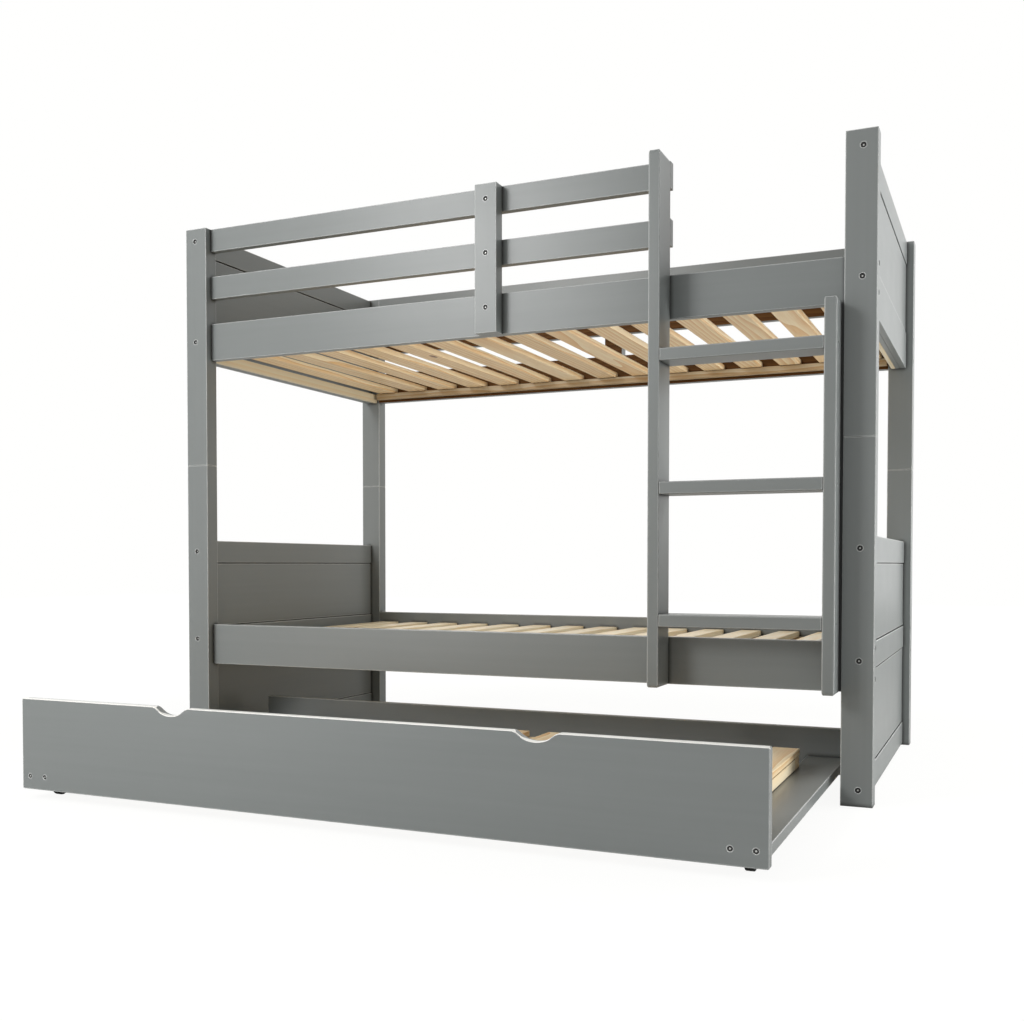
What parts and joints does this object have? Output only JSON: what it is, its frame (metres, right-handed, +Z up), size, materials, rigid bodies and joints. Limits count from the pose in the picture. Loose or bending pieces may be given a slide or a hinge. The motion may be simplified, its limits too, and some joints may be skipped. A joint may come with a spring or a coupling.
{
  "type": "bunk bed with trundle",
  "caption": "Painted wooden bunk bed with slatted berths, guard rails, a fixed ladder and a low trundle bed on castors that rolls out from underneath.",
  "frame": {"origin": "on the floor, under the middle of the whole outline with the trundle drawn out", "axes": "+X along the bed towards the ladder end, +Y from the front to the back, +Z up"},
  "size_m": [2.08, 1.8682, 1.64],
  "materials": {
    "grey_paint": "solid pine and board under a satin grey paint",
    "pine": "planed, unfinished pine",
    "beech": "turned beech",
    "castor_wheel": "moulded black plastic",
    "castor_fork": "pressed steel, zinc plated"
  },
  "bodies": {
    "bed": {"lower_post_front_left": "grey_paint", "lower_post_front_right": "grey_paint", "lower_post_back_left": "grey_paint", "lower_post_back_right": "grey_paint", "upper_post_front_left": "grey_paint", "upper_post_front_right": "grey_paint", "upper_post_back_left": "grey_paint", "upper_post_back_right": "grey_paint", "post_dowel_front_left": "beech", "post_dowel_front_right": "beech", "post_dowel_back_left": "beech", "post_dowel_back_right": "beech", "upper_end_top_rail_left": "grey_paint", "upper_end_panel_left": "grey_paint", "upper_end_bottom_rail_left": "grey_paint", "lower_end_top_rail_left": "grey_paint", "lower_end_upper_panel_left": "grey_paint", "lower_end_middle_rail_left": "grey_paint", "lower_end_lower_panel_left": "grey_paint", "lower_end_bottom_rail_left": "grey_paint", "upper_end_top_rail_right": "grey_paint", "upper_end_panel_right": "grey_paint", "upper_end_bottom_rail_right": "grey_paint", "lower_end_top_rail_right": "grey_paint", "lower_end_upper_panel_right": "grey_paint", "lower_end_middle_rail_right": "grey_paint", "lower_end_lower_panel_right": "grey_paint", "lower_end_bottom_rail_right": "grey_paint", "lower_side_rail_front": "grey_paint", "lower_side_rail_back": "grey_paint", "upper_side_rail_front": "grey_paint", "upper_side_rail_back": "grey_paint", "guard_front_top_rail": "grey_paint", "guard_front_middle_rail": "grey_paint", "guard_front_upright": "grey_paint", "guard_back_top_rail": "grey_paint", "guard_back_middle_rail": "grey_paint", "guard_back_upright": "grey_paint", "ladder_left_stile": "grey_paint", "ladder_right_stile": "grey_paint", "ladder_rung_1": "grey_paint", "ladder_rung_2": "grey_paint", "ladder_rung_3": "grey_paint", "lower_slat_deck": "pine", "upper_slat_deck": "pine"},
    "trundle": {"trundle_front_panel": "grey_paint", "trundle_back_panel": "grey_paint", "trundle_end_board_left": "grey_paint", "trundle_end_board_right": "grey_paint", "trundle_slat_deck": "pine", "castor_fork_front_left": "castor_fork", "castor_fork_front_right": "castor_fork", "castor_fork_back_left": "castor_fork", "castor_fork_back_right": "castor_fork"},
    "wheel_front_left": {"castor_wheel_front_left": "castor_wheel"},
    "wheel_front_right": {"castor_wheel_front_right": "castor_wheel"},
    "wheel_back_left": {"castor_wheel_back_left": "castor_wheel"},
    "wheel_back_right": {"castor_wheel_back_right": "castor_wheel"}
  },
  "joints": [
    {"name": "trundle_slide", "type": "slide", "parent": "bed", "child": "trundle", "axis": [0, -1, 0], "range_m": [-0.778, 0.33]},
    {"name": "wheel_front_left_spin", "type": "hinge", "parent": "trundle", "child": "wheel_front_left", "pos_m": [-0.889, -0.85915, 0.02], "axis": [1, 0, 0], "continuous": true},
    {"name": "wheel_front_right_spin", "type": "hinge", "parent": "trundle", "child": "wheel_front_right", "pos_m": [0.889, -0.85915, 0.02], "axis": [1, 0, 0], "continuous": true},
    {"name": "wheel_back_left_spin", "type": "hinge", "parent": "trundle", "child": "wheel_back_left", "pos_m": [-0.889, 0.04085, 0.02], "axis": [1, 0, 0], "continuous": true},
    {"name": "wheel_back_right_spin", "type": "hinge", "parent": "trundle", "child": "wheel_back_right", "pos_m": [0.889, 0.04085, 0.02], "axis": [1, 0, 0], "continuous": true}
  ],
  "couplings": [
    {"joint": "wheel_front_left_spin", "follows": "trundle_slide", "rad_per_m": 50},
    {"joint": "wheel_front_right_spin", "follows": "trundle_slide", "rad_per_m": 50},
    {"joint": "wheel_back_left_spin", "follows": "trundle_slide", "rad_per_m": 50},
    {"joint": "wheel_back_right_spin", "follows": "trundle_slide", "rad_per_m": 50}
  ]
}
